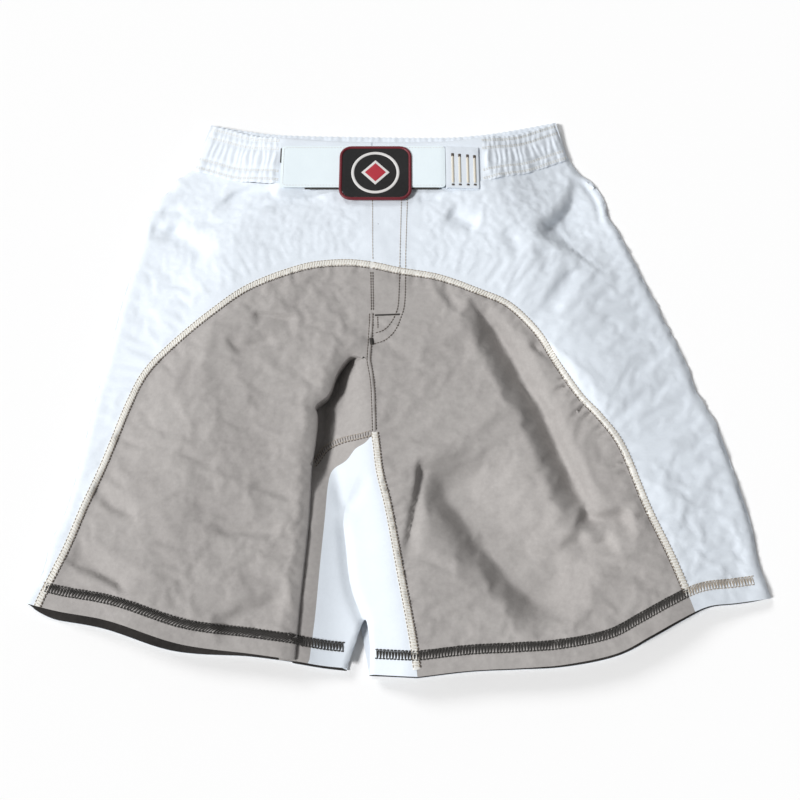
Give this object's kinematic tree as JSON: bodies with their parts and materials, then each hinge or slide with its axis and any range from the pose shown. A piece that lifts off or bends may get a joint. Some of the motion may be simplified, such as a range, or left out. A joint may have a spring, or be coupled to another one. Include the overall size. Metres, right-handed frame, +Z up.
{
  "type": "boxing shorts",
  "caption": "Loose knee-length fight shorts lying face up, contrast front panels, gathered elastic waist, hook-and-loop closure tab and open legs.",
  "frame": {"origin": "middle of the bounding box, on the surface that the shorts lie on", "axes": "+X to the wearer's left, +Y from the hems to the waist, +Z up through the front layer"},
  "size_m": [0.6427, 0.5488, 0.0352],
  "materials": {
    "white_cloth": "smooth woven microfibre",
    "grey_cloth": "woven microfibre, taupe grey",
    "tab_cloth": "smooth coated",
    "hook_tape": "hook tape",
    "loop_tape": "loop pile",
    "elastic": "covered elastic",
    "cream_thread": "polyester thread",
    "dark_thread": "polyester thread",
    "badge_black": "woven badge",
    "badge_maroon": "satin stitch",
    "badge_light": "satin stitch"
  },
  "bodies": {
    "shorts": {"arch_seam_left": "cream_thread", "arch_seam_right": "cream_thread", "back_panel_left": "white_cloth", "back_panel_right": "white_cloth", "centre_seam": "dark_thread", "closure_loop_tape": "loop_tape", "fly_bar": "dark_thread", "fly_loop_tape": "loop_tape", "fly_stitching": "dark_thread", "fly_underlap": "white_cloth", "front_panel_left": "grey_cloth", "front_panel_right": "grey_cloth", "gusset_left": "white_cloth", "gusset_right": "white_cloth", "hem_stitching_left": "dark_thread", "hem_stitching_right": "dark_thread", "inseam_seam_left": "cream_thread", "inseam_seam_right": "cream_thread", "side_panel_left": "white_cloth", "side_panel_right": "white_cloth", "tab_bartacks": "cream_thread", "tab_base": "tab_cloth", "waist_elastic": "elastic", "waistband_back": "white_cloth", "waistband_front_left": "white_cloth", "waistband_front_right": "white_cloth", "waistband_row_left_1": "cream_thread", "waistband_row_left_2": "cream_thread", "waistband_row_left_3": "cream_thread", "waistband_row_left_4": "cream_thread", "waistband_row_right_1": "cream_thread", "waistband_row_right_2": "cream_thread", "waistband_row_right_3": "cream_thread", "waistband_row_right_4": "cream_thread", "waistband_underlap": "white_cloth"},
    "closure_tab": {"closure_tab": "tab_cloth", "closure_hook_tape": "hook_tape", "badge_backing": "badge_black", "badge_border": "badge_maroon", "badge_motif": "badge_light"},
    "fly_flap": {"fly_flap_upper": "white_cloth", "fly_flap_lower": "grey_cloth", "waistband_fly_end": "white_cloth", "fly_hook_tape": "hook_tape", "arch_seam_flap": "cream_thread"}
  },
  "joints": [
    {"name": "closure_tab_peel", "type": "hinge", "parent": "shorts", "child": "closure_tab", "pos_m": [0.047, 0.214, 0.0334], "axis": [0, 1, 0], "range_deg": [0, 150]},
    {"name": "fly_open", "type": "hinge", "parent": "shorts", "child": "fly_flap", "pos_m": [-0.025, 0.057, 0.0305], "axis": [0.177, 0.9842, 0], "range_deg": [0, 60]}
  ],
  "couplings": [
    {"joint": "fly_open", "follows": "closure_tab_peel", "ratio": 0.4}
  ]
}
